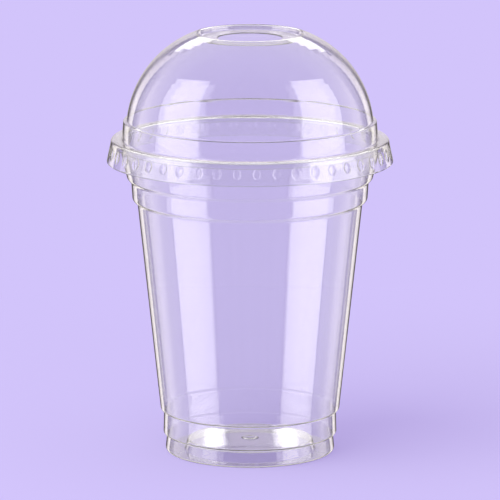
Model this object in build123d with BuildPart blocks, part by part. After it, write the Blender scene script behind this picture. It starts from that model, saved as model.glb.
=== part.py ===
"""Clear plastic cold cup with a domed lid. Millimetres, +Z up, origin at the centre of the foot."""

from build123d import *
import os
from math import hypot, radians, tan

# Cup rim: the sheet's edge, rolled outwards into an open bead
cup_wall = 0.35
rim_radius = 48.9
curl_radius = 1.6
curl_sweep = 200

# Cup side, from the rim down: how far each band steps in or out from the one above it
mouth_flare = 1.95
mouth_ledge = 1.5
shoulder_flare = 0.4
shoulder_ledge = 1.8
body_taper = 8.1
base_band_ledge = 1.2
base_band_undercut = 0.2
foot_ledge = 1.3
foot_undercut = 0.6

# Cup side, from the foot up: the height of each band and of the ledges between them
foot_height = 5.9
base_band_height = 8.1
body_height = 75.5
shoulder_height = 6.3
mouth_height = 8.8
ledge_rise = 0.7
shoulder_rise = 1.5
shoulder_fillet = 2.0

# Cup base: a raised centre panel with a small round button, inside the ring it stands on
foot_ring_width = 7.3
panel_height = 3.6
panel_slope = 1.0
button_radius = 2.8
button_slope = 0.4
button_height = 0.4

# Lid: formed from one sheet that rests on the rolled rim
lid_wall = 0.35
seat_gap = 0.15
side_gap = 0.15
rim_cover = 1.05
shelf_fillet = 1.2
crease_land = 0.3
skirt_height = 6.7
skirt_flare = 1.4
collar_inset = 0.15
collar_height = 6.4
collar_draft = 0.5
step_width = 1.3
step_rise = 0.9
step_land = 0.5
dome_centre_drop = 9.9
dome_top_radius = 20.0
crest_land = 0.9
crest_width = 1.8
recess_depth = 2.0
hole_radius = 11.6

# Lens-shaped dimples pressed into the skirt, which grip under the rolled rim
dimple_count = 45
dimple_width = 3.2
dimple_height = 4.6
dimple_draft = 30
dimple_gap = 0.4
first_dimple = -87.2

os.makedirs("parts", exist_ok=True)

# Cup: the outer face of the sheet
mouth_radius = rim_radius - 2 * curl_radius + cup_wall
mouth_base_radius = mouth_radius - mouth_flare
shoulder_top_radius = mouth_base_radius - mouth_ledge
shoulder_base_radius = shoulder_top_radius - shoulder_flare
body_top_radius = shoulder_base_radius - shoulder_ledge
body_base_radius = body_top_radius - body_taper
band_top_radius = body_base_radius - base_band_ledge
band_base_radius = band_top_radius + base_band_undercut
foot_top_radius = band_base_radius - foot_ledge
foot_radius = foot_top_radius + foot_undercut
panel_base_radius = foot_radius - foot_ring_width
panel_radius = panel_base_radius - panel_slope

band_base = foot_height + ledge_rise
band_top = band_base + base_band_height
body_base = band_top + ledge_rise
body_top = body_base + body_height
shoulder_base = body_top + shoulder_rise
shoulder_top = shoulder_base + shoulder_height
mouth_base = shoulder_top + shoulder_rise
curl_base = mouth_base + mouth_height
curl_centre = curl_base + 2 * curl_radius
rim_height = curl_centre + curl_radius

with BuildPart() as cup:
    with BuildSketch(Plane.XZ):
        with BuildLine():
            base = Polyline(
                (0, panel_height + button_height),
                (button_radius - button_slope, panel_height + button_height),
                (button_radius, panel_height),
                (panel_radius, panel_height),
                (panel_base_radius, 0),
                (foot_radius, 0),
                (foot_top_radius, foot_height),
                (band_base_radius, band_base),
                (band_top_radius, band_top),
                (body_base_radius, body_base),
                (body_top_radius, body_top),
            )
            shoulder = FilletPolyline(
                base @ 1,
                (shoulder_base_radius, shoulder_base),
                (shoulder_top_radius, shoulder_top),
                radius=shoulder_fillet,
            )
            mouth = Polyline(
                shoulder @ 1,
                (mouth_base_radius, mouth_base),
                (mouth_radius, curl_base),
                (mouth_radius, curl_centre),
            )
            JernArc(mouth @ 1, mouth % 1, radius=curl_radius - cup_wall, arc_size=-curl_sweep)
            offset(amount=cup_wall, side=Side.LEFT, kind=Kind.TANGENT)
        make_face()
    revolve(axis=Axis.Z)

# Lid: the outer face of the sheet
shelf_z = rim_height + seat_gap + lid_wall
crease_z = shelf_z - shelf_fillet - crease_land
skirt_z = crease_z - skirt_height
crease_radius = rim_radius + rim_cover
skirt_radius = crease_radius + skirt_flare
collar_base_radius = mouth_radius - collar_inset
collar_top_radius = collar_base_radius - collar_draft
collar_top = shelf_z + collar_height
dome_base_radius = collar_top_radius - step_width
dome_base = collar_top + step_rise
dome_radius = hypot(dome_base_radius, dome_centre_drop)
dome_top = dome_base - dome_centre_drop + (dome_radius**2 - dome_top_radius**2) ** 0.5
recess_radius = dome_top_radius - crest_width

# A dimple is pressed in until the upper end of its floor clears the rolled rim by the side gap
skirt_run = Vector(skirt_flare, 0, -skirt_height).normalized()
dimple_centre = Vector(crease_radius, 0, crease_z) + (dimple_gap + dimple_height / 2) * skirt_run
dimple_lean = dimple_height / 2 * skirt_run.X
dimple_depth = dimple_centre.X - dimple_lean - (rim_radius + side_gap + lid_wall)
dimple_plane = Plane(dimple_centre, x_dir=(0, 1, 0), z_dir=Vector(0, 1, 0).cross(skirt_run))


def dimple(width, height, start, depth):
    """The lens that two tapered discs share, from one depth under the skirt's face to another."""
    disc_radius = (width**2 + height**2) / (4 * width)
    disc_shift = disc_radius - width / 2
    disc_taper = (depth - start) * tan(radians(dimple_draft))
    disc = (disc_radius, disc_radius - disc_taper, depth - start)
    seat = (Align.CENTER, Align.CENTER, Align.MIN)
    with BuildPart(dimple_plane.offset(start)) as lens:
        with Locations((-disc_shift, 0)):
            Cone(*disc, align=seat)
        with Locations((disc_shift, 0)):
            Cone(*disc, align=seat, mode=Mode.INTERSECT)
    return lens.part


back = dimple(dimple_width + lid_wall, dimple_height + lid_wall, lid_wall / 2, dimple_depth + lid_wall)
front = dimple(dimple_width, dimple_height, 0, dimple_depth)

with BuildPart() as dome_lid:
    with BuildSketch(Plane.XZ):
        with BuildLine():
            dome = RadiusArc((dome_top_radius, dome_top), (dome_base_radius, dome_base), dome_radius)
            crest = dome @ 0 - crest_land * (dome % 0)
            recess_z = crest.Y - recess_depth
            Polyline((hole_radius, recess_z), (recess_radius, recess_z), crest, dome @ 0)
            step = dome @ 1 + step_land * (dome % 1)
            collar = Polyline(
                dome @ 1,
                step,
                (collar_top_radius, collar_top),
                (collar_base_radius, shelf_z),
            )
            shelf = FilletPolyline(
                collar @ 1,
                (crease_radius, shelf_z),
                (crease_radius, crease_z),
                radius=shelf_fillet,
            )
            Line(shelf @ 1, (skirt_radius, skirt_z))
            offset(amount=lid_wall, side=Side.RIGHT, kind=Kind.TANGENT)
        make_face()
    revolve(axis=Axis.Z)
    with PolarLocations(0, dimple_count, start_angle=first_dimple):
        add(back)
    with PolarLocations(0, dimple_count, start_angle=first_dimple):
        add(front, mode=Mode.SUBTRACT)

cup.part.label = "cup"
dome_lid.part.label = "dome_lid"
export_step(cup.part, "parts/cup.step")
export_step(dome_lid.part, "parts/dome_lid.step")
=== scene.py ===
"""Clear PET cold cup with a domed lid: its looks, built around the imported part. Metres, +Z up."""

from math import asin, atan2, ceil, copysign, cos, hypot, pi, radians, sin, tan

import bmesh
import bpy
from mathutils import Matrix, Vector


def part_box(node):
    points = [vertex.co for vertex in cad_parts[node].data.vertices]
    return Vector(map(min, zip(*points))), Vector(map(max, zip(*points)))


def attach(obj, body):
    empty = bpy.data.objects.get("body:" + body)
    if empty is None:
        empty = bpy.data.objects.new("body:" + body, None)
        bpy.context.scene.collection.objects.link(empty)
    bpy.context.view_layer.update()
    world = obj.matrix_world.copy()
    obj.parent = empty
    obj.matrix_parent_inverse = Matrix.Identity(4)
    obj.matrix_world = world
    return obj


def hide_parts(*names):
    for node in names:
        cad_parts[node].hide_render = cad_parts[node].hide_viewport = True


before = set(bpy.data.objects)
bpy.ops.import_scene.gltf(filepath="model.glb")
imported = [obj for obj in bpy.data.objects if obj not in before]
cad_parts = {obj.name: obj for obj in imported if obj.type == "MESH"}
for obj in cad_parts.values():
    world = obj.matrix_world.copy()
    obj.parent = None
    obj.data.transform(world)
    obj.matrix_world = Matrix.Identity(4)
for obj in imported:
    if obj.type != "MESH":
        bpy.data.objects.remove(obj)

bl_info = {
    "name": "Cold Cup with Dome Lid",
    "version": (1, 0, 0),
    "blender": (4, 5, 0),
    "location": "3D View > Sidebar > Cold Cup",
    "description": "Builds a thermoformed clear cup, its dome lid and a studio around them",
    "category": "Add Mesh",
}

MM = 0.001
_, CUP_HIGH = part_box("cup")
LID_LOW, LID_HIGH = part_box("dome_lid")

# How finely the forms are cut: around the axis, then along the section
CUP_SEGMENTS = 320
LID_SEGMENTS = 270
SKIRT_REFINEMENT = 3
PAPER_SEGMENTS = 96
ROUNDING_STEP = radians(18)
DOME_STEP = radians(4)
RUN_STEP = 6 * MM
EDGE_STEPS = 4
DIMPLE_ROWS = 16
SKIRT_FOOT_ROWS = 4
PAPER_RINGS = 5
# How far from a rounding the first point of a plain run lies
GUARD = 0.25 * MM
# Points closer to the axis than this are on it
ON_AXIS = 0.0025 * MM
# Share of the vertices around the skirt that cross a dimple, and how far they reach past it
DIMPLE_SHARE = 2 / 3
DIMPLE_MARGIN = 0.2 * MM
# Share of a dimple's slope over which it eases in, and out again at the floor
DIMPLE_EASE = 0.2
# The skirt ends square to its slope: its outer corner is this share of the wall above its inner one
SKIRT_FOOT_LIFT = 0.2


class ColdCupSizes(bpy.types.PropertyGroup):
    """Sizes of the cup, from its rim down and from its foot up"""

    wall: bpy.props.FloatProperty(
        name="Wall", description="Thickness of the formed sheet",
        default=0.35 * MM, unit="LENGTH", precision=5)
    curl_radius: bpy.props.FloatProperty(
        name="Curl radius", description="Outer radius of the rolled rim's section",
        default=1.6 * MM, unit="LENGTH", precision=5)
    curl_sweep: bpy.props.FloatProperty(
        name="Curl sweep", description="How far the rim is rolled over",
        default=radians(200), subtype="ANGLE")
    mouth_flare: bpy.props.FloatProperty(
        name="Mouth flare", description="How much the mouth band widens up to the rim",
        default=1.95 * MM, unit="LENGTH", precision=5)
    mouth_ledge: bpy.props.FloatProperty(
        name="Mouth ledge", description="Width of the ledge under the mouth band",
        default=1.5 * MM, unit="LENGTH", precision=5)
    shoulder_flare: bpy.props.FloatProperty(
        name="Shoulder flare", description="How much the shoulder band widens upwards",
        default=0.4 * MM, unit="LENGTH", precision=5)
    shoulder_ledge: bpy.props.FloatProperty(
        name="Shoulder ledge", description="Width of the ledge under the shoulder band",
        default=1.8 * MM, unit="LENGTH", precision=5)
    body_taper: bpy.props.FloatProperty(
        name="Body taper", description="How much the body narrows down to the base",
        default=8.1 * MM, unit="LENGTH", precision=5)
    band_ledge: bpy.props.FloatProperty(
        name="Base band ledge", description="Width of the ledge between the body and the base band",
        default=1.2 * MM, unit="LENGTH", precision=5)
    band_undercut: bpy.props.FloatProperty(
        name="Base band undercut", description="How much the base band widens downwards",
        default=0.2 * MM, unit="LENGTH", precision=5)
    foot_ledge: bpy.props.FloatProperty(
        name="Foot ledge", description="Width of the ledge between the base band and the foot",
        default=1.3 * MM, unit="LENGTH", precision=5)
    foot_undercut: bpy.props.FloatProperty(
        name="Foot undercut", description="How much the foot widens downwards",
        default=0.6 * MM, unit="LENGTH", precision=5)
    foot_height: bpy.props.FloatProperty(
        name="Foot height", description="Height of the foot band",
        default=5.9 * MM, unit="LENGTH", precision=5)
    band_height: bpy.props.FloatProperty(
        name="Base band height", description="Height of the band above the foot",
        default=8.1 * MM, unit="LENGTH", precision=5)
    ledge_rise: bpy.props.FloatProperty(
        name="Ledge rise", description="Height of the two ledges near the foot",
        default=0.7 * MM, unit="LENGTH", precision=5)
    shoulder_height: bpy.props.FloatProperty(
        name="Shoulder height", description="Height of the shoulder band",
        default=6.3 * MM, unit="LENGTH", precision=5)
    shoulder_rise: bpy.props.FloatProperty(
        name="Shoulder rise", description="Height of the two ledges of the shoulder",
        default=1.5 * MM, unit="LENGTH", precision=5)
    mouth_height: bpy.props.FloatProperty(
        name="Mouth height", description="Height of the flared part of the mouth band",
        default=8.8 * MM, unit="LENGTH", precision=5)
    foot_ring: bpy.props.FloatProperty(
        name="Foot ring", description="Width of the ring that the cup stands on",
        default=7.3 * MM, unit="LENGTH", precision=5)
    panel_height: bpy.props.FloatProperty(
        name="Panel height", description="Height of the raised panel in the base",
        default=3.6 * MM, unit="LENGTH", precision=5)
    panel_slope: bpy.props.FloatProperty(
        name="Panel slope", description="Width of the slope from the panel down to the ring",
        default=1.0 * MM, unit="LENGTH", precision=5)
    button_radius: bpy.props.FloatProperty(
        name="Button radius", description="Radius of the small button in the panel's middle",
        default=2.8 * MM, unit="LENGTH", precision=5)
    button_height: bpy.props.FloatProperty(
        name="Button height", description="Height of the button above the panel",
        default=0.4 * MM, unit="LENGTH", precision=5)
    button_rounding: bpy.props.FloatProperty(
        name="Button rounding", description="Radius of the button's upper edge",
        default=0.5 * MM, unit="LENGTH", precision=5)
    button_foot_rounding: bpy.props.FloatProperty(
        name="Button foot rounding", description="Radius where the button meets the panel",
        default=0.3 * MM, unit="LENGTH", precision=5)
    panel_rounding: bpy.props.FloatProperty(
        name="Panel rounding", description="Radius of the panel's edge",
        default=0.8 * MM, unit="LENGTH", precision=5)
    ring_rounding: bpy.props.FloatProperty(
        name="Ring rounding", description="Radius of the standing ring's inner edge",
        default=0.9 * MM, unit="LENGTH", precision=5)
    foot_rounding: bpy.props.FloatProperty(
        name="Foot rounding", description="Radius of the standing ring's outer edge",
        default=1.1 * MM, unit="LENGTH", precision=5)
    ledge_rounding: bpy.props.FloatProperty(
        name="Ledge rounding", description="Radius at the lower end of the two ledges near the foot",
        default=0.4 * MM, unit="LENGTH", precision=5)
    band_rounding: bpy.props.FloatProperty(
        name="Base band rounding", description="Radius of the base band's lower edge",
        default=0.7 * MM, unit="LENGTH", precision=5)
    body_rounding: bpy.props.FloatProperty(
        name="Body rounding", description="Radius of the body's lower edge",
        default=0.8 * MM, unit="LENGTH", precision=5)
    notch_rounding: bpy.props.FloatProperty(
        name="Notch rounding", description="Radius at the lower end of the shoulder's two ledges",
        default=0.6 * MM, unit="LENGTH", precision=5)
    shoulder_rounding: bpy.props.FloatProperty(
        name="Shoulder rounding", description="Radius at the upper end of the shoulder's two ledges",
        default=1.4 * MM, unit="LENGTH", precision=5)
    mouth_rounding: bpy.props.FloatProperty(
        name="Mouth rounding", description="Radius of the bend between the mouth band and the rim",
        default=4.0 * MM, unit="LENGTH", precision=5)


class DomeLidSizes(bpy.types.PropertyGroup):
    """Sizes of the lid, from its hole out to the skirt"""

    wall: bpy.props.FloatProperty(
        name="Wall", description="Thickness of the formed sheet",
        default=0.35 * MM, unit="LENGTH", precision=5)
    hole_radius: bpy.props.FloatProperty(
        name="Hole radius", description="Radius of the punched hole",
        default=11.6 * MM, unit="LENGTH", precision=5)
    recess_depth: bpy.props.FloatProperty(
        name="Recess depth", description="Depth of the sunken top below the crest",
        default=2.0 * MM, unit="LENGTH", precision=5)
    crest_width: bpy.props.FloatProperty(
        name="Crest width", description="Width from the sunken top to where the dome begins",
        default=1.8 * MM, unit="LENGTH", precision=5)
    crest_land: bpy.props.FloatProperty(
        name="Crest land", description="Straight run between the crest and the dome",
        default=0.9 * MM, unit="LENGTH", precision=5)
    dome_top_radius: bpy.props.FloatProperty(
        name="Dome top radius", description="Radius at which the dome begins",
        default=20.0 * MM, unit="LENGTH", precision=5)
    dome_rise: bpy.props.FloatProperty(
        name="Dome rise", description="Height of the dome from the step up to where the crest begins",
        default=30.7 * MM, unit="LENGTH", precision=5)
    dome_radius: bpy.props.FloatProperty(
        name="Dome radius", description="Radius of the dome's section",
        default=37.5 * MM, unit="LENGTH", precision=5)
    step_rise: bpy.props.FloatProperty(
        name="Step rise", description="Height of the step between the collar and the dome",
        default=0.9 * MM, unit="LENGTH", precision=5)
    step_width: bpy.props.FloatProperty(
        name="Step width", description="Width of the step between the collar and the dome",
        default=1.3 * MM, unit="LENGTH", precision=5)
    step_land: bpy.props.FloatProperty(
        name="Step land", description="Straight run between the dome and the step",
        default=0.5 * MM, unit="LENGTH", precision=5)
    collar_height: bpy.props.FloatProperty(
        name="Collar height", description="Height of the upright collar",
        default=6.4 * MM, unit="LENGTH", precision=5)
    collar_draft: bpy.props.FloatProperty(
        name="Collar draft", description="How much the collar narrows upwards",
        default=0.5 * MM, unit="LENGTH", precision=5)
    collar_inset: bpy.props.FloatProperty(
        name="Collar inset", description="How far the collar stands inside the cup's mouth",
        default=0.15 * MM, unit="LENGTH", precision=5)
    seat_gap: bpy.props.FloatProperty(
        name="Seat gap", description="Clearance between the cup's rim and the shelf",
        default=0.15 * MM, unit="LENGTH", precision=5)
    shelf_rounding: bpy.props.FloatProperty(
        name="Shelf rounding", description="Radius of the shelf's outer edge",
        default=1.2 * MM, unit="LENGTH", precision=5)
    recess_rounding: bpy.props.FloatProperty(
        name="Recess rounding", description="Radius around the floor of the sunken top",
        default=0.5 * MM, unit="LENGTH", precision=5)
    crest_rounding: bpy.props.FloatProperty(
        name="Crest rounding", description="Radius of the crest",
        default=0.8 * MM, unit="LENGTH", precision=5)
    step_rounding: bpy.props.FloatProperty(
        name="Step rounding", description="Radius where the dome meets the step",
        default=0.4 * MM, unit="LENGTH", precision=5)
    collar_rounding: bpy.props.FloatProperty(
        name="Collar rounding", description="Radius of the collar's upper edge",
        default=0.5 * MM, unit="LENGTH", precision=5)
    seat_rounding: bpy.props.FloatProperty(
        name="Seat rounding", description="Radius where the collar meets the shelf",
        default=0.6 * MM, unit="LENGTH", precision=5)
    crease_land: bpy.props.FloatProperty(
        name="Crease land", description="Upright run between the shelf's edge and the skirt",
        default=0.3 * MM, unit="LENGTH", precision=5)
    skirt_flare: bpy.props.FloatProperty(
        name="Skirt flare", description="How much the skirt widens downwards",
        default=1.4 * MM, unit="LENGTH", precision=5)
    dimple_count: bpy.props.IntProperty(
        name="Dimples", description="Number of dimples around the skirt", default=45)
    dimple_width: bpy.props.FloatProperty(
        name="Dimple width", description="Width of one lens-shaped dimple",
        default=3.2 * MM, unit="LENGTH", precision=5)
    dimple_height: bpy.props.FloatProperty(
        name="Dimple height", description="Height of one lens-shaped dimple",
        default=4.6 * MM, unit="LENGTH", precision=5)
    dimple_gap: bpy.props.FloatProperty(
        name="Dimple gap", description="Distance from the crease down to a dimple",
        default=0.4 * MM, unit="LENGTH", precision=5)
    dimple_depth: bpy.props.FloatProperty(
        name="Dimple depth", description="How deep a dimple is pressed in",
        default=0.63 * MM, unit="LENGTH", precision=5)
    dimple_slope: bpy.props.FloatProperty(
        name="Dimple slope", description="Width of the drafted side around a dimple's floor",
        default=0.9 * MM, unit="LENGTH", precision=5)
    first_dimple: bpy.props.FloatProperty(
        name="First dimple", description="Direction of one dimple around the axis",
        default=radians(-87.2), subtype="ANGLE")


class ClearPlasticColours(bpy.types.PropertyGroup):
    """Colours of the sheet, as sRGB"""

    tint: bpy.props.StringProperty(
        name="Tint", description="What one face of the sheet does to light", default="#FBFBFC")
    depth: bpy.props.StringProperty(
        name="Depth", description="What colour a long way inside the sheet turns light", default="#938B90")
    shade: bpy.props.StringProperty(
        name="Shade", description="What one face of the sheet leaves of the light in its shadow",
        default="#F8F6FB")


class StudioSettings(bpy.types.PropertyGroup):
    """The paper, the soft panels, the lamp, the light around them and the camera"""

    paper: bpy.props.StringProperty(
        name="Paper", description="Colour of the seamless paper, as sRGB", default="#D2C4FB")
    ceiling: bpy.props.StringProperty(
        name="Ceiling", description="Colour above the backdrop, as sRGB", default="#D5D5E7")
    paper_radius: bpy.props.FloatProperty(
        name="Paper radius", description="Radius of the paper that the cup stands on",
        default=0.3, unit="LENGTH")
    glow: bpy.props.FloatProperty(
        name="Glow", description="Share of the paper's colour that doesn't depend on the lamps",
        default=0.25, subtype="FACTOR")
    ambient: bpy.props.FloatProperty(
        name="Ambient", description="Strength of the even light around the object", default=0.28)
    fade_start: bpy.props.FloatProperty(
        name="Fade start", description="Where the paper starts to fade, as a share of its radius",
        default=0.45, subtype="FACTOR")
    fade_end: bpy.props.FloatProperty(
        name="Fade end", description="Where the paper has faded, as a share of its radius",
        default=0.95, subtype="FACTOR")
    cloth: bpy.props.StringProperty(
        name="Cloth", description="Colour of the soft panels' light, as sRGB", default="#FFFDFA")
    panel_distance: bpy.props.FloatProperty(
        name="Panel distance", description="Distance from the cup to each side panel",
        default=1.2, unit="LENGTH")
    panel_direction: bpy.props.FloatProperty(
        name="Panel direction", description="Angle of each side panel from the camera's direction",
        default=radians(49), subtype="ANGLE")
    panel_width: bpy.props.FloatProperty(
        name="Panel width", description="Width of each side panel", default=1.1, unit="LENGTH")
    panel_height: bpy.props.FloatProperty(
        name="Panel height", description="Height of each side panel", default=2.4, unit="LENGTH")
    panel_offset: bpy.props.FloatProperty(
        name="Panel offset", description="How far each side panel stands back, away from the camera",
        default=0.25, unit="LENGTH")
    panel_drop: bpy.props.FloatProperty(
        name="Panel drop", description="How far each side panel reaches below the paper",
        default=0.95, unit="LENGTH")
    panel_tilt: bpy.props.FloatProperty(
        name="Panel tilt", description="How far each side panel leans over the cup",
        default=radians(11), subtype="ANGLE")
    panel_roll: bpy.props.FloatProperty(
        name="Panel roll", description="How far the top of each side panel turns away from the camera",
        default=radians(12), subtype="ANGLE")
    left_foot_glow: bpy.props.FloatProperty(
        name="Left panel, foot", description="Brightness of the left panel's face at its foot",
        default=1.3)
    left_head_glow: bpy.props.FloatProperty(
        name="Left panel, head", description="Brightness of the left panel's face at its head",
        default=3.1)
    right_foot_glow: bpy.props.FloatProperty(
        name="Right panel, foot", description="Brightness of the right panel's face at its foot",
        default=2.1)
    right_head_glow: bpy.props.FloatProperty(
        name="Right panel, head", description="Brightness of the right panel's face at its head",
        default=3.3)
    back_glow: bpy.props.FloatProperty(
        name="Back panel", description="Brightness of the panel high behind the cup", default=3.0)
    back_width: bpy.props.FloatProperty(
        name="Back panel width", description="Width of the back panel", default=1.4, unit="LENGTH")
    back_height: bpy.props.FloatProperty(
        name="Back panel height", description="Height of the back panel", default=0.5, unit="LENGTH")
    back_distance: bpy.props.FloatProperty(
        name="Back panel distance", description="Distance of the back panel from the point it faces",
        default=1.45, unit="LENGTH")
    back_rise: bpy.props.FloatProperty(
        name="Back panel rise", description="Angle of the back panel above the point it faces",
        default=radians(34), subtype="ANGLE")
    back_aim: bpy.props.FloatProperty(
        name="Back panel aim", description="Height of the point on the axis that the back panel faces",
        default=0.11, unit="LENGTH")
    slot_glow: bpy.props.FloatProperty(
        name="Slots", description="Brightness of the two slim lights behind the cup", default=3.3)
    slot_distance: bpy.props.FloatProperty(
        name="Slot distance", description="Distance of the slim lights behind the cup's axis",
        default=1.0, unit="LENGTH")
    slot_rise: bpy.props.FloatProperty(
        name="Slot rise", description="Height of the slim lights' middle above the paper",
        default=0.245, unit="LENGTH")
    slot_height: bpy.props.FloatProperty(
        name="Slot height", description="Height of the slim lights", default=45 * MM, unit="LENGTH")
    left_slot_side: bpy.props.FloatProperty(
        name="Left slot, side", description="How far to the left the left slim light stands",
        default=24.5 * MM, unit="LENGTH")
    left_slot_width: bpy.props.FloatProperty(
        name="Left slot, width", description="Width of the left slim light",
        default=21 * MM, unit="LENGTH")
    right_slot_side: bpy.props.FloatProperty(
        name="Right slot, side", description="How far to the right the right slim light stands",
        default=25 * MM, unit="LENGTH")
    right_slot_width: bpy.props.FloatProperty(
        name="Right slot, width", description="Width of the right slim light",
        default=23 * MM, unit="LENGTH")
    key_light: bpy.props.FloatProperty(
        name="Key light", description="Brightness of the face of the lamp that lights the paper",
        default=4.55)
    key_distance: bpy.props.FloatProperty(
        name="Key distance", description="Distance from the cup to the key light",
        default=4.0, unit="LENGTH")
    key_size: bpy.props.FloatProperty(
        name="Key size", description="Width of the square key light", default=3.6, unit="LENGTH")
    key_direction: bpy.props.FloatProperty(
        name="Key direction", description="Angle of the key light to the left of the camera",
        default=radians(50), subtype="ANGLE")
    key_rise: bpy.props.FloatProperty(
        name="Key rise", description="Angle of the key light above the paper",
        default=radians(52), subtype="ANGLE")
    camera_distance: bpy.props.FloatProperty(
        name="Camera distance", description="Distance in front of the cup's axis",
        default=1.75, unit="LENGTH")
    camera_height: bpy.props.FloatProperty(
        name="Camera height", description="Height above the floor", default=0.4268, unit="LENGTH")
    camera_pitch: bpy.props.FloatProperty(
        name="Camera pitch", description="How far the camera looks down",
        default=radians(11.42), subtype="ANGLE")
    camera_lens: bpy.props.FloatProperty(
        name="Camera lens", description="Focal length for a 36 mm sensor", default=357.2, unit="CAMERA")


def linear(hex_colour):
    """An sRGB hex colour as linear RGBA."""
    values = [int(hex_colour[i:i + 2], 16) / 255 for i in (1, 3, 5)]
    return [v / 12.92 if v <= 0.04045 else ((v + 0.055) / 1.055) ** 2.4 for v in values] + [1.0]


def add_node(tree, kind, inputs=None, **settings):
    """Adds a node with its settings; each input is a value, or an output socket to link."""
    node = tree.nodes.new(kind)
    for name, value in settings.items():
        setattr(node, name, value)
    for name, value in (inputs or {}).items():
        if isinstance(value, bpy.types.NodeSocket):
            tree.links.new(value, node.inputs[name])
        else:
            node.inputs[name].default_value = value
    return node


def new_material(name):
    """An empty material and its node tree."""
    material = bpy.data.materials.new(name)
    material.use_nodes = True
    material.node_tree.nodes.clear()
    return material, material.node_tree


def seen_ray(tree):
    """One for rays that the camera, a reflection or clear plastic sees; nought for light itself."""
    ray = add_node(tree, "ShaderNodeLightPath")
    either = add_node(tree, "ShaderNodeMath", {
        0: ray.outputs["Is Camera Ray"], 1: ray.outputs["Is Glossy Ray"]}, operation="MAXIMUM")
    seen = add_node(tree, "ShaderNodeMath", {
        0: either.outputs[0], 1: ray.outputs["Is Transmission Ray"]}, operation="MAXIMUM")
    return seen.outputs[0]


def mirrored_ray(tree):
    """One for rays that a surface has mirrored on their way; nought for a straight look."""
    depth = add_node(tree, "ShaderNodeLightPath").outputs["Glossy Depth"]
    return add_node(tree, "ShaderNodeMath", {0: depth, 1: 1.0}, operation="MINIMUM").outputs[0]


def clear_pet(name, colours, draw_stretch):
    """PET sheet, extruded clear and thermoformed.

    It gives the eye crisp, bright reflections that waver slightly, and darker edges where the wall
    is seen end on. draw_stretch is how much longer than wide the marks of forming are."""
    wave_spacing = 14 * MM
    mark_spacing = 2.5 * MM
    haze_width = 9 * MM
    material, tree = new_material(name)
    place = add_node(tree, "ShaderNodeTexCoord").outputs["Object"]

    # Slow waves of the cooled sheet
    waves = add_node(tree, "ShaderNodeTexNoise", {
        "Vector": place, "Scale": 1 / wave_spacing, "Detail": 1.0, "Roughness": 0.4})
    # Draw marks, stretched the way the sheet was drawn
    mark_place = add_node(tree, "ShaderNodeMapping", {"Vector": place, "Scale": (1, 1, 1 / draw_stretch)})
    marks = add_node(tree, "ShaderNodeTexNoise", {
        "Vector": mark_place.outputs["Vector"], "Scale": 1 / mark_spacing, "Detail": 2.0, "Roughness": 0.5})
    # Handling haze, in soft clouds
    haze = add_node(tree, "ShaderNodeTexNoise", {
        "Vector": place, "Scale": 1 / haze_width, "Detail": 3.0, "Roughness": 0.6})

    wave_bump = add_node(tree, "ShaderNodeBump", {
        "Strength": 0.15, "Distance": 0.08 * MM, "Height": waves.outputs["Fac"]})
    mark_bump = add_node(tree, "ShaderNodeBump", {
        "Strength": 0.25, "Distance": 0.006 * MM, "Height": marks.outputs["Fac"],
        "Normal": wave_bump.outputs["Normal"]})
    roughness = add_node(tree, "ShaderNodeMapRange", {
        "Value": haze.outputs["Fac"], "From Min": 0.35, "From Max": 0.75,
        "To Min": 0.015, "To Max": 0.06})

    sheet = add_node(tree, "ShaderNodeBsdfPrincipled", {
        "Base Color": linear(colours.tint), "Roughness": roughness.outputs["Result"], "IOR": 1.575,
        "Transmission Weight": 1.0, "Normal": mark_bump.outputs["Normal"]})
    # Light passes on through the sheet, so that its shadow stays pale
    passing = add_node(tree, "ShaderNodeBsdfTransparent", {"Color": linear(colours.shade)})
    ray = add_node(tree, "ShaderNodeLightPath")
    surface = add_node(tree, "ShaderNodeMixShader", {
        0: ray.outputs["Is Shadow Ray"], 1: sheet.outputs["BSDF"], 2: passing.outputs["BSDF"]})
    # A long way inside the sheet, such as along the rim or a bend, turns light a darker grey
    inside = add_node(tree, "ShaderNodeVolumeAbsorption", {
        "Color": linear(colours.depth), "Density": 40.0})
    add_node(tree, "ShaderNodeOutputMaterial", {
        "Surface": surface.outputs["Shader"], "Volume": inside.outputs["Volume"]})
    return material


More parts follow.
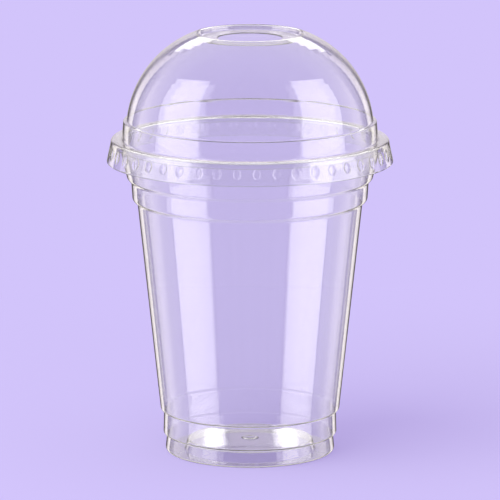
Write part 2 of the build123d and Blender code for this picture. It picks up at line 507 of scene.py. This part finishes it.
def seamless_paper(studio):
    """Seamless background paper, matte and evenly dyed.

    It gives the eye one flat pale colour without gloss, on which only the soft shadow shows."""
    fibre_width = 0.8 * MM
    material, tree = new_material("paper_seamless_lavender")
    colour = linear(studio.paper)
    place = add_node(tree, "ShaderNodeTexCoord").outputs["Object"]
    # Paper fibre, drawn wider than life so that it shows at all
    fibre = add_node(tree, "ShaderNodeTexNoise", {"Vector": place, "Scale": 1 / fibre_width, "Detail": 2.0})
    bump = add_node(tree, "ShaderNodeBump", {
        "Strength": 0.05, "Distance": 0.02 * MM, "Height": fibre.outputs["Fac"]})
    lit = add_node(tree, "ShaderNodeBsdfDiffuse", {"Color": colour, "Normal": bump.outputs["Normal"]})
    even = add_node(tree, "ShaderNodeEmission", {"Color": colour, "Strength": 1.0})
    # The lamps' share fades out towards the edge, where the paper meets the backdrop
    reach = add_node(tree, "ShaderNodeVectorMath", {0: place}, operation="LENGTH")
    fade = add_node(tree, "ShaderNodeMapRange", {
        "Value": reach.outputs["Value"], "From Min": studio.fade_start * studio.paper_radius,
        "From Max": studio.fade_end * studio.paper_radius, "To Min": studio.glow, "To Max": 1.0},
        interpolation_type="SMOOTHSTEP")
    share = add_node(tree, "ShaderNodeMath", {
        0: seen_ray(tree), 1: fade.outputs["Result"]}, operation="MULTIPLY")
    sheet = add_node(tree, "ShaderNodeMixShader", {
        0: share.outputs[0], 1: lit.outputs["BSDF"], 2: even.outputs["Emission"]})
    # Mirrored rays pass, so that the clear sheet mirrors the room and the panels all the way down
    passing = add_node(tree, "ShaderNodeBsdfTransparent")
    surface = add_node(tree, "ShaderNodeMixShader", {
        0: mirrored_ray(tree), 1: sheet.outputs["Shader"], 2: passing.outputs["BSDF"]})
    add_node(tree, "ShaderNodeOutputMaterial", {"Surface": surface.outputs["Shader"]})
    return material


def turned(direction, angle):
    """A direction in the section plane, turned to the left."""
    return Matrix.Rotation(angle, 2) @ direction


def left_of(direction):
    """The unit vector to the left of a direction in the section plane."""
    return Vector((-direction.y, direction.x))


def arc_points(start, direction, radius, sweep, step):
    """(point, left normal) along an arc that leaves start in a direction and turns by sweep."""
    side = copysign(radius, sweep)
    centre = start + side * left_of(direction)
    count = max(2, ceil(abs(sweep) / step))
    turns = [turned(direction, sweep * k / count) for k in range(count + 1)]
    return [(centre - side * left_of(turn), left_of(turn)) for turn in turns]


def rounded(corners):
    """(point, left normal) along a section path through corners, each (radius, height, rounding).

    A corner with no rounding is a point of a finely cut arc, and keeps its place."""
    points = [Vector(corner[:2]) for corner in corners]
    ways = [(b - a).normalized() for a, b in zip(points, points[1:])]
    path = [(points[0], left_of(ways[0]))]
    for point, corner, before, after in zip(points[1:], corners[1:], ways, ways[1:]):
        turn = atan2(before.x * after.y - before.y * after.x, before.dot(after))
        if corner[2]:
            start = point - corner[2] * tan(abs(turn) / 2) * before
            path += arc_points(start, before, corner[2], turn, ROUNDING_STEP)
        else:
            path.append((point, left_of((before + after).normalized())))
    path.append((points[-1], left_of(ways[-1])))
    return path


def with_runs(path):
    """The path with points along its long runs, closer together next to a rounding."""
    fuller = [path[0]]
    for (a, _), (b, normal_b) in zip(path, path[1:]):
        length = (b - a).length
        if length > 4 * GUARD:
            across = left_of((b - a).normalized())
            inner = length - 2 * GUARD
            count = max(1, round(inner / RUN_STEP))
            for k in range(count + 1):
                fuller.append((a + (b - a) * (GUARD + inner * k / count) / length, across))
        fuller.append((b, normal_b))
    return fuller


def end_cap(point, normal, wall, forward):
    """The rounded edge of a sheet, from its face round to its back, between the two."""
    middle = point + normal * wall / 2 - forward * wall / 2
    angles = [pi * k / EDGE_STEPS for k in range(1, EDGE_STEPS)]
    return [middle - normal * wall / 2 * cos(a) + forward * wall / 2 * sin(a) for a in angles]


def shortened(path, wall):
    """The path with its last point drawn back by half the wall, so that a rounded edge ends there."""
    point, normal = path[-1]
    forward = -left_of(normal)
    return path[:-1] + [(point - forward * wall / 2, normal)]


def even_turns(count):
    """Angles of a ring's vertices, evenly spaced."""
    return [2 * pi * k / count for k in range(count)]


def ring(point, turns):
    """Vertices of one ring around the axis; a point on the axis is a single vertex."""
    if point.x < ON_AXIS:
        return [Vector((0, 0, point.y))]
    return [Vector((point.x * cos(a), point.x * sin(a), point.y)) for a in turns]


def bridge(a, b, start_a, start_b):
    """Faces between two rings, of which one may be a single point or finer by a whole factor."""
    if len(a) > len(b):
        return bridge(b, a, start_b, start_a)
    if len(a) == 1:
        return [(start_a, start_b + k, start_b + (k + 1) % len(b)) for k in range(len(b))]
    count = len(a)
    factor = len(b) // count
    faces = []
    for k in range(count):
        near = (start_a + k, start_a + (k + 1) % count)
        far = [start_b + (factor * k + factor // 2 + j) % len(b) for j in range(factor + 1)]
        if factor == 1:
            faces.append((near[0], far[0], far[1], near[1]))
            continue
        half = factor // 2
        faces += [(near[0], far[j], far[j + 1]) for j in range(half)]
        if factor % 2:
            faces.append((near[0], far[half], far[half + 1], near[1]))
        else:
            faces.append((near[0], far[half], near[1]))
        faces += [(near[1], far[j], far[j + 1]) for j in range(factor - half, factor)]
    return faces


def lathe(name, rings, closed):
    """A smooth mesh object through rings of vertices, with its normals outwards."""
    starts = [0]
    for vertices in rings:
        starts.append(starts[-1] + len(vertices))
    faces = []
    for i in range(len(rings) if closed else len(rings) - 1):
        j = (i + 1) % len(rings)
        faces += bridge(rings[i], rings[j], starts[i], starts[j])
    mesh = bpy.data.meshes.new(name)
    mesh.from_pydata([v for vertices in rings for v in vertices], [], faces)
    tidy = bmesh.new()
    tidy.from_mesh(mesh)
    bmesh.ops.recalc_face_normals(tidy, faces=tidy.faces)
    tidy.to_mesh(mesh)
    tidy.free()
    mesh.polygons.foreach_set("use_smooth", [True] * len(mesh.polygons))
    piece = bpy.data.objects.new(name, mesh)
    bpy.context.scene.collection.objects.link(piece)
    return piece


def cup_path(sizes):
    """The outer face of the cup's sheet, from the centre of the base to the end of the rolled rim."""
    mouth = CUP_HIGH.x - 2 * sizes.curl_radius + sizes.wall
    mouth_base = mouth - sizes.mouth_flare
    shoulder_top = mouth_base - sizes.mouth_ledge
    shoulder_base = shoulder_top - sizes.shoulder_flare
    body_top = shoulder_base - sizes.shoulder_ledge
    body_base = body_top - sizes.body_taper
    band_top = body_base - sizes.band_ledge
    band_base = band_top + sizes.band_undercut
    foot_top = band_base - sizes.foot_ledge
    foot = foot_top + sizes.foot_undercut
    panel_base = foot - sizes.foot_ring

    curl_z = CUP_HIGH.z - sizes.curl_radius
    mouth_z = curl_z - 2 * sizes.curl_radius
    mouth_base_z = mouth_z - sizes.mouth_height
    shoulder_top_z = mouth_base_z - sizes.shoulder_rise
    shoulder_base_z = shoulder_top_z - sizes.shoulder_height
    body_top_z = shoulder_base_z - sizes.shoulder_rise
    band_base_z = sizes.foot_height + sizes.ledge_rise
    band_top_z = band_base_z + sizes.band_height
    body_base_z = band_top_z + sizes.ledge_rise
    button_z = sizes.panel_height + sizes.button_height

    path = rounded([
        (0, button_z, 0),
        (sizes.button_radius - sizes.button_height, button_z, sizes.button_rounding),
        (sizes.button_radius, sizes.panel_height, sizes.button_foot_rounding),
        (panel_base - sizes.panel_slope, sizes.panel_height, sizes.panel_rounding),
        (panel_base, 0, sizes.ring_rounding),
        (foot, 0, sizes.foot_rounding),
        (foot_top, sizes.foot_height, sizes.ledge_rounding),
        (band_base, band_base_z, sizes.band_rounding),
        (band_top, band_top_z, sizes.ledge_rounding),
        (body_base, body_base_z, sizes.body_rounding),
        (body_top, body_top_z, sizes.notch_rounding),
        (shoulder_base, shoulder_base_z, sizes.shoulder_rounding),
        (shoulder_top, shoulder_top_z, sizes.notch_rounding),
        (mouth_base, mouth_base_z, sizes.shoulder_rounding),
        (mouth, mouth_z, sizes.mouth_rounding),
        (mouth, curl_z, 0),
    ])
    start, normal = path[-1]
    inside = sizes.curl_radius - sizes.wall
    curl = arc_points(start, -left_of(normal), inside, -sizes.curl_sweep, ROUNDING_STEP)
    return with_runs(path) + curl[1:]


def lid_path(sizes, cup):
    """The outer face of the lid's sheet, from the hole to the crease above the skirt."""
    shelf_z = CUP_HIGH.z + sizes.seat_gap + sizes.wall
    crease_z = shelf_z - sizes.shelf_rounding - sizes.crease_land
    collar_top_z = shelf_z + sizes.collar_height
    dome_base_z = collar_top_z + sizes.step_rise
    crease = LID_HIGH.x - sizes.skirt_flare
    collar_base = CUP_HIGH.x - 2 * cup.curl_radius + cup.wall - sizes.collar_inset
    collar_top = collar_base - sizes.collar_draft
    dome_base = collar_top - sizes.step_width
    top = Vector((sizes.dome_top_radius, dome_base_z + sizes.dome_rise))
    chord = Vector((dome_base, dome_base_z)) - top
    half_sweep = asin(chord.length / 2 / sizes.dome_radius)
    start_way = turned(chord.normalized(), half_sweep)
    arc = arc_points(top, start_way, sizes.dome_radius, -2 * half_sweep, DOME_STEP)
    dome = [point for point, _ in arc]
    crest = top - sizes.crest_land * start_way
    step = dome[-1] + sizes.step_land * turned(chord.normalized(), -half_sweep)
    recess = sizes.dome_top_radius - sizes.crest_width
    recess_z = crest.y - sizes.recess_depth

    upper = rounded([
        (sizes.hole_radius, recess_z, 0),
        (recess, recess_z, sizes.recess_rounding),
        (crest.x, crest.y, sizes.crest_rounding),
        *[(point.x, point.y, 0) for point in dome],
        (step.x, step.y, sizes.step_rounding),
        (collar_top, collar_top_z, sizes.collar_rounding),
        (collar_base, shelf_z, sizes.seat_rounding),
        (crease, shelf_z, sizes.shelf_rounding),
        (crease, crease_z, 0),
    ])
    return with_runs(upper)


def pressed_in(across, down, sizes):
    """How deep the skirt is pressed in at a point, given from the middle of the nearest dimple."""
    disc = (sizes.dimple_width**2 + sizes.dimple_height**2) / (4 * sizes.dimple_width)
    shift = disc - sizes.dimple_width / 2
    inside = disc - hypot(abs(across) + shift, down)
    share = min(1.0, max(0.0, inside / sizes.dimple_slope + DIMPLE_EASE / 2))
    # The slope is even, and eases in at its top and out at the floor
    if share < DIMPLE_EASE:
        eased = share * share / (2 * DIMPLE_EASE)
    elif share > 1 - DIMPLE_EASE:
        eased = 1 - DIMPLE_EASE - (1 - share) * (1 - share) / (2 * DIMPLE_EASE)
    else:
        eased = share - DIMPLE_EASE / 2
    return sizes.dimple_depth * eased / (1 - DIMPLE_EASE)


def lid_turns(count, sizes):
    """Angles of a ring's vertices, closer together where they cross a dimple."""
    per_dimple = count // sizes.dimple_count
    pitch = 2 * pi / sizes.dimple_count
    # Half the dimple's width, in pitches, and half the share of the vertices that cross it
    half = (sizes.dimple_width / 2 + DIMPLE_MARGIN) / LID_HIGH.x / pitch
    crossing = DIMPLE_SHARE / 2
    shares = []
    for k in range(per_dimple):
        place = (k + 0.5) / per_dimple - 0.5
        if abs(place) < crossing:
            shares.append(place / crossing * half)
        else:
            beyond = (abs(place) - crossing) / (0.5 - crossing)
            shares.append(copysign(half + beyond * (0.5 - half), place))
    return [
        sizes.first_dimple + pitch * (d + share) for d in range(sizes.dimple_count) for share in shares]


def skirt_ring(point, inward, down, sizes, turns):
    """One ring of the skirt, pressed in where it crosses the dimples."""
    pitch = 2 * pi / sizes.dimple_count
    vertices = []
    for angle in turns:
        off = (angle - sizes.first_dimple + pitch / 2) % pitch - pitch / 2
        pressed = point + inward * pressed_in(off * point.x, down, sizes)
        vertices.append(Vector((pressed.x * cos(angle), pressed.x * sin(angle), pressed.y)))
    return vertices


def lid_rings(sizes, cup):
    """All rings of the lid's closed section: out over its face, round the skirt's edge and back."""
    upper = lid_path(sizes, cup)
    start = upper[-1][0]
    foot = Vector((LID_HIGH.x, LID_LOW.z + SKIRT_FOOT_LIFT * sizes.wall))
    run = foot - start
    down = run.normalized()
    inward = -left_of(down)
    coarse = lid_turns(LID_SEGMENTS, sizes)
    fine = lid_turns(LID_SEGMENTS * SKIRT_REFINEMENT, sizes)
    middle = sizes.dimple_gap + sizes.dimple_height / 2
    # The rows stop half the wall before the skirt's foot, where its rounded edge begins
    length = run.length - sizes.wall / 2

    hole_point, hole_normal = upper[0]
    hole_forward = left_of(hole_normal)
    upper = [(hole_point - hole_forward * sizes.wall / 2, hole_normal)] + upper[1:]
    face = [ring(point, coarse) for point, _ in upper]
    # The sheet lies to the right of the path, so its back is found against the left normal
    back = [ring(point - normal * sizes.wall, coarse) for point, normal in upper]
    first = sizes.dimple_gap - DIMPLE_MARGIN
    last = sizes.dimple_gap + sizes.dimple_height + DIMPLE_MARGIN
    travels = [first + (last - first) * k / DIMPLE_ROWS for k in range(DIMPLE_ROWS + 1)]
    travels += [last + (length - last) * (k + 1) / SKIRT_FOOT_ROWS for k in range(SKIRT_FOOT_ROWS)]
    skirt_face = [skirt_ring(start + down * t, inward, t - middle, sizes, fine) for t in travels]
    inner = start + inward * sizes.wall
    skirt_back = [skirt_ring(inner + down * t, inward, t - middle, sizes, fine) for t in travels]
    skirt_edge = [ring(point, fine) for point in end_cap(foot, inward, sizes.wall, down)]
    hole_edge = [
        ring(point, coarse) for point in end_cap(hole_point, -hole_normal, sizes.wall, hole_forward)]
    return face + skirt_face + skirt_edge + skirt_back[::-1] + back[::-1] + hole_edge[::-1]


class COLDCUP_OT_make_cup(bpy.types.Operator):
    """Builds the cup from one sheet, with its stepped foot, shoulder and rolled rim"""

    bl_idname = "cold_cup.make_cup"
    bl_label = "Make Cup"

    def execute(self, context):
        sizes = context.scene.cold_cup_sizes
        path = shortened(cup_path(sizes), sizes.wall)
        end, normal = path[-1]
        forward = -left_of(normal)
        edge = end_cap(end + forward * sizes.wall / 2, normal, sizes.wall, forward)
        section = [point for point, _ in path] + edge
        section += [point + normal * sizes.wall for point, normal in reversed(path)]
        turns = even_turns(CUP_SEGMENTS)
        cup = lathe("clear_cup", [ring(point, turns) for point in section], closed=False)
        colours = context.scene.cold_cup_colours
        cup.data.materials.append(clear_pet("pet_thermoformed_cup", colours, draw_stretch=20))
        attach(cup, "cup")
        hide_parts("cup")
        return {"FINISHED"}


class COLDCUP_OT_make_lid(bpy.types.Operator):
    """Builds the lid from one sheet, with its hole, dome, collar and dimpled skirt"""

    bl_idname = "cold_cup.make_lid"
    bl_label = "Make Dome Lid"

    def execute(self, context):
        rings = lid_rings(context.scene.dome_lid_sizes, context.scene.cold_cup_sizes)
        lid = lathe("clear_dome_lid", rings, closed=True)
        colours = context.scene.cold_cup_colours
        lid.data.materials.append(clear_pet("pet_thermoformed_lid", colours, draw_stretch=4))
        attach(lid, "lid")
        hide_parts("dome_lid")
        return {"FINISHED"}


def diffuser_cloth(name, colour, width, height, foot_glow, head_glow):
    """White nylon diffuser of a soft panel, lit from behind.

    It gives the eye long clean highlights that fade out at their edges. Only mirrored rays see it,
    so that it never stands behind the clear cup."""
    # The cloth is even over its inner share, dims to its side share, and its border fades out
    even_share = 0.1
    side_share = 0.85
    border_width = 0.08
    material, tree = new_material(name)
    material.cycles.emission_sampling = "NONE"
    place = add_node(tree, "ShaderNodeSeparateXYZ", {
        "Vector": add_node(tree, "ShaderNodeTexCoord").outputs["Object"]})
    rise = add_node(tree, "ShaderNodeMapRange", {
        "Value": place.outputs["Y"], "From Min": -height / 2, "From Max": height / 2,
        "To Min": foot_glow, "To Max": head_glow})
    glow = rise.outputs["Result"]
    for axis, size in (("X", width), ("Y", height)):
        border_start = size / 2 - min(border_width, size / 4)
        off = add_node(tree, "ShaderNodeMath", {0: place.outputs[axis]}, operation="ABSOLUTE")
        middle = add_node(tree, "ShaderNodeMapRange", {
            "Value": off.outputs[0], "From Min": even_share * size, "From Max": size / 2,
            "To Min": 1.0, "To Max": side_share}, interpolation_type="SMOOTHSTEP")
        border = add_node(tree, "ShaderNodeMapRange", {
            "Value": off.outputs[0], "From Min": border_start, "From Max": size / 2,
            "To Min": 1.0, "To Max": 0.0}, interpolation_type="SMOOTHSTEP")
        share = add_node(tree, "ShaderNodeMath", {
            0: middle.outputs["Result"], 1: border.outputs["Result"]}, operation="MULTIPLY")
        product = add_node(tree, "ShaderNodeMath", {0: glow, 1: share.outputs[0]}, operation="MULTIPLY")
        glow = product.outputs[0]
    lit = add_node(tree, "ShaderNodeEmission", {"Color": linear(colour), "Strength": glow})
    unseen = add_node(tree, "ShaderNodeBsdfTransparent")
    surface = add_node(tree, "ShaderNodeMixShader", {
        0: mirrored_ray(tree), 1: unseen.outputs["BSDF"], 2: lit.outputs["Emission"]})
    add_node(tree, "ShaderNodeOutputMaterial", {"Surface": surface.outputs["Shader"]})
    return material


def add_panel(name, colour, width, height, foot_glow, head_glow, place):
    """The face of a soft panel, as the clear sheet mirrors it."""
    mesh = bpy.data.meshes.new(name)
    corners = [(x * width / 2, y * height / 2, 0) for x, y in ((-1, -1), (1, -1), (1, 1), (-1, 1))]
    mesh.from_pydata(corners, [], [(0, 1, 2, 3)])
    cloth = diffuser_cloth("nylon_diffuser_" + name, colour, width, height, foot_glow, head_glow)
    mesh.materials.append(cloth)
    panel = bpy.data.objects.new(name, mesh)
    bpy.context.scene.collection.objects.link(panel)
    panel.matrix_world = place
    panel.visible_camera = False
    panel.visible_diffuse = False
    panel.visible_shadow = False


def facing(direction, rise, distance, aim):
    """Where a thing stands that faces aim; direction is to the right of the camera, seen from the cup."""
    away = Vector((sin(direction) * cos(rise), -cos(direction) * cos(rise), sin(rise)))
    turn = away.to_track_quat("Z", "Y").to_matrix().to_4x4()
    return Matrix.Translation(Vector(aim) + away * distance) @ turn


def add_key_light(studio):
    """The lamp that lights the paper from the front left, and gives the cup its soft shadow."""
    data = bpy.data.lights.new("key_light", "AREA")
    data.shape = "SQUARE"
    data.size = studio.key_size
    # A face that glows with a strength of 1 sends pi watts from each square metre
    data.energy = studio.key_light * pi * studio.key_size**2
    light = bpy.data.objects.new("key_light", data)
    bpy.context.scene.collection.objects.link(light)
    light.matrix_world = facing(-studio.key_direction, studio.key_rise, studio.key_distance, (0, 0, 0))
    light.visible_camera = False
    light.visible_glossy = False
    light.visible_transmission = False


def side_panel_place(studio, side):
    """Where a side panel stands; side is -1 for left and 1 for right."""
    angle = studio.panel_direction
    out = Vector((side * sin(angle), -cos(angle), 0))
    away = Vector((side * cos(angle), sin(angle), 0))
    lean = Matrix.Rotation(studio.panel_tilt, 3, out.cross(Vector((0, 0, 1))))
    face = lean @ out
    roll = Matrix.Rotation(-side * studio.panel_roll, 3, face)
    rise = roll @ lean @ Vector((0, 0, 1))
    foot = out * studio.panel_distance + away * studio.panel_offset - Vector((0, 0, studio.panel_drop))
    turn = Matrix((rise.cross(face), rise, face)).transposed()
    return Matrix.Translation(foot + rise * studio.panel_height / 2) @ turn.to_4x4()


def add_camera(studio):
    """The camera at the photograph's angle."""
    data = bpy.data.cameras.new("camera")
    data.sensor_width = 36
    data.lens = studio.camera_lens
    data.clip_end = 20
    camera = bpy.data.objects.new("camera", data)
    bpy.context.scene.collection.objects.link(camera)
    camera.location = (0, -studio.camera_distance, studio.camera_height)
    camera.rotation_euler = (pi / 2 - studio.camera_pitch, 0, 0)
    bpy.context.scene.camera = camera


# What the sheet mirrors of the studio, from the camera's side (0) to behind the cup (1): the grey
# room, its lighter side walls, the dark gap beside the backdrop, and the backdrop's bright edge, a
# dark strip and its grey middle
ROOM_STOPS = (
    (0.00, "#6C6A74"), (0.15, "#6A6872"), (0.40, "#66656C"), (0.50, "#8A8A88"), (0.63, "#8E8D8B"),
    (0.68, "#A5A29F"), (0.795, "#A6A29F"), (0.815, "#605C62"), (0.862, "#4E4A50"), (0.870, "#141214"),
    (0.888, "#141214"), (0.897, "#C4BFB6"), (0.925, "#B8B2AC"), (0.945, "#948E90"), (0.958, "#3A3634"),
    (0.974, "#302C2A"), (0.985, "#868084"), (1.00, "#9A959A"))
ROOM_PEAK = 2.6
# Overhead the room turns to a plain ceiling, darker towards the camera
CEILING_FRONT = "#48474C"
CEILING_BACK = "#8B898E"
# Heights and depths of a look, from -1 to 1, between which one part of the room blends into the next
BACKDROP_TO_TOP = (0.06, 0.2)
WALLS_TO_CEILING = (0.25, 0.7)
CEILING_FRONT_TO_BACK = (-0.6, 0.6)
# How much further back the room seems where the look rises
ROOM_LEAN = 0.1


def studio_air(studio):
    """The world: the backdrop straight and through the sheet, the room in mirrors, and an even light."""
    world = bpy.data.worlds.new("studio_air")
    bpy.context.scene.world = world
    world.use_nodes = True
    tree = world.node_tree
    tree.nodes.clear()
    way = add_node(tree, "ShaderNodeSeparateXYZ", {
        "Vector": add_node(tree, "ShaderNodeTexCoord").outputs["Generated"]})

    # A straight look sees the backdrop
    rise = add_node(tree, "ShaderNodeMapRange", {
        "Value": way.outputs["Z"], "From Min": BACKDROP_TO_TOP[0], "From Max": BACKDROP_TO_TOP[1]},
        interpolation_type="SMOOTHSTEP")
    backdrop = add_node(tree, "ShaderNodeMix", {
        "Factor": rise.outputs["Result"], "A": linear(studio.paper), "B": linear(studio.ceiling)},
        data_type="RGBA")
    straight = add_node(tree, "ShaderNodeBackground", {
        "Color": backdrop.outputs["Result"], "Strength": 1.0})

    # A mirrored look sees the room
    tip = add_node(tree, "ShaderNodeMath", {
        0: way.outputs["Z"], 1: ROOM_LEAN, 2: way.outputs["Y"]}, operation="MULTIPLY_ADD")
    depth = add_node(tree, "ShaderNodeMapRange", {
        "Value": tip.outputs[0], "From Min": -1.0, "From Max": 1.0})
    room = add_node(tree, "ShaderNodeValToRGB", {"Fac": depth.outputs["Result"]})
    ramp = room.color_ramp
    for place, _ in ROOM_STOPS[1:-1]:
        ramp.elements.new(place)
    for element, (place, colour) in zip(ramp.elements, ROOM_STOPS):
        element.position = place
        element.color = linear(colour)
    overhead = add_node(tree, "ShaderNodeMapRange", {
        "Value": tip.outputs[0],
        "From Min": CEILING_FRONT_TO_BACK[0], "From Max": CEILING_FRONT_TO_BACK[1]},
        interpolation_type="SMOOTHSTEP")
    ceiling = add_node(tree, "ShaderNodeMix", {
        "Factor": overhead.outputs["Result"], "A": linear(CEILING_FRONT), "B": linear(CEILING_BACK)},
        data_type="RGBA")
    height = add_node(tree, "ShaderNodeMapRange", {
        "Value": way.outputs["Z"], "From Min": WALLS_TO_CEILING[0], "From Max": WALLS_TO_CEILING[1]},
        interpolation_type="SMOOTHSTEP")
    walls = add_node(tree, "ShaderNodeMix", {
        "Factor": height.outputs["Result"], "A": room.outputs["Color"], "B": ceiling.outputs["Result"]},
        data_type="RGBA")
    mirrored = add_node(tree, "ShaderNodeBackground", {
        "Color": walls.outputs["Result"], "Strength": ROOM_PEAK})

    # What is seen of the world, and the even light that it gives
    seen = add_node(tree, "ShaderNodeMixShader", {
        0: mirrored_ray(tree), 1: straight.outputs["Background"], 2: mirrored.outputs["Background"]})
    even = add_node(tree, "ShaderNodeBackground", {"Color": (1, 1, 1, 1), "Strength": studio.ambient})
    all_rays = add_node(tree, "ShaderNodeMixShader", {
        0: seen_ray(tree), 1: even.outputs["Background"], 2: seen.outputs["Shader"]})
    add_node(tree, "ShaderNodeOutputWorld", {"Surface": all_rays.outputs["Shader"]})


class COLDCUP_OT_make_stage(bpy.types.Operator):
    """Lays the paper, sets the soft panels and the key light around the cup, and places the camera"""

    bl_idname = "cold_cup.make_stage"
    bl_label = "Make Stage"

    def execute(self, context):
        studio = context.scene.cold_cup_studio
        radii = [studio.paper_radius * k / PAPER_RINGS for k in range(PAPER_RINGS + 1)]
        turns = even_turns(PAPER_SEGMENTS)
        paper = lathe("paper", [ring(Vector((r, 0)), turns) for r in radii], closed=False)
        paper.data.materials.append(seamless_paper(studio))

        behind = facing(pi, studio.back_rise, studio.back_distance, (0, 0, studio.back_aim))
        panels = [
            ("left_panel", studio.panel_width, studio.panel_height,
             studio.left_foot_glow, studio.left_head_glow, side_panel_place(studio, -1)),
            ("right_panel", studio.panel_width, studio.panel_height,
             studio.right_foot_glow, studio.right_head_glow, side_panel_place(studio, 1)),
            ("back_panel", studio.back_width, studio.back_height,
             studio.back_glow, studio.back_glow, behind),
        ]
        upright = Matrix.Rotation(pi / 2, 4, "X")
        for name, x, width in (
                ("left_slot", -studio.left_slot_side, studio.left_slot_width),
                ("right_slot", studio.right_slot_side, studio.right_slot_width)):
            place = Matrix.Translation((x, studio.slot_distance, studio.slot_rise)) @ upright
            panels.append((name, width, studio.slot_height, studio.slot_glow, studio.slot_glow, place))
        for name, *face in panels:
            add_panel(name, studio.cloth, *face)

        add_key_light(studio)
        add_camera(studio)
        studio_air(studio)
        context.scene.view_settings.view_transform = "Standard"
        # Light crosses up to eight walls of the cup and the lid, each with two faces
        context.scene.cycles.max_bounces = 32
        context.scene.cycles.transmission_bounces = 32
        context.scene.cycles.glossy_bounces = 12
        context.scene.cycles.transparent_max_bounces = 32
        context.scene.cycles.caustics_reflective = False
        context.scene.cycles.caustics_refractive = False
        return {"FINISHED"}


class COLDCUP_PT_sidebar(bpy.types.Panel):
    """Sizes and colours, with the operators that build from them"""

    bl_idname = "COLDCUP_PT_sidebar"
    bl_label = "Cold Cup with Dome Lid"
    bl_space_type = "VIEW_3D"
    bl_region_type = "UI"
    bl_category = "Cold Cup"

    def draw(self, context):
        scene = context.scene
        groups = (
            ("Cup", scene.cold_cup_sizes, "cold_cup.make_cup"),
            ("Dome lid", scene.dome_lid_sizes, "cold_cup.make_lid"),
            ("Clear plastic", scene.cold_cup_colours, None),
            ("Stage", scene.cold_cup_studio, "cold_cup.make_stage"),
        )
        for title, group, operator in groups:
            box = self.layout.box()
            box.label(text=title)
            for name in group.__annotations__:
                box.prop(group, name)
            if operator:
                box.operator(operator)


CLASSES = (
    ColdCupSizes,
    DomeLidSizes,
    ClearPlasticColours,
    StudioSettings,
    COLDCUP_OT_make_cup,
    COLDCUP_OT_make_lid,
    COLDCUP_OT_make_stage,
    COLDCUP_PT_sidebar,
)


def register():
    for item in CLASSES:
        bpy.utils.register_class(item)
    bpy.types.Scene.cold_cup_sizes = bpy.props.PointerProperty(type=ColdCupSizes)
    bpy.types.Scene.dome_lid_sizes = bpy.props.PointerProperty(type=DomeLidSizes)
    bpy.types.Scene.cold_cup_colours = bpy.props.PointerProperty(type=ClearPlasticColours)
    bpy.types.Scene.cold_cup_studio = bpy.props.PointerProperty(type=StudioSettings)


def unregister():
    del bpy.types.Scene.cold_cup_studio
    del bpy.types.Scene.cold_cup_colours
    del bpy.types.Scene.dome_lid_sizes
    del bpy.types.Scene.cold_cup_sizes
    for item in reversed(CLASSES):
        bpy.utils.unregister_class(item)


def main():
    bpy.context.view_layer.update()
    register()
    bpy.ops.cold_cup.make_cup()
    bpy.ops.cold_cup.make_lid()
    bpy.ops.cold_cup.make_stage()


if __name__ == "__main__":
    main()
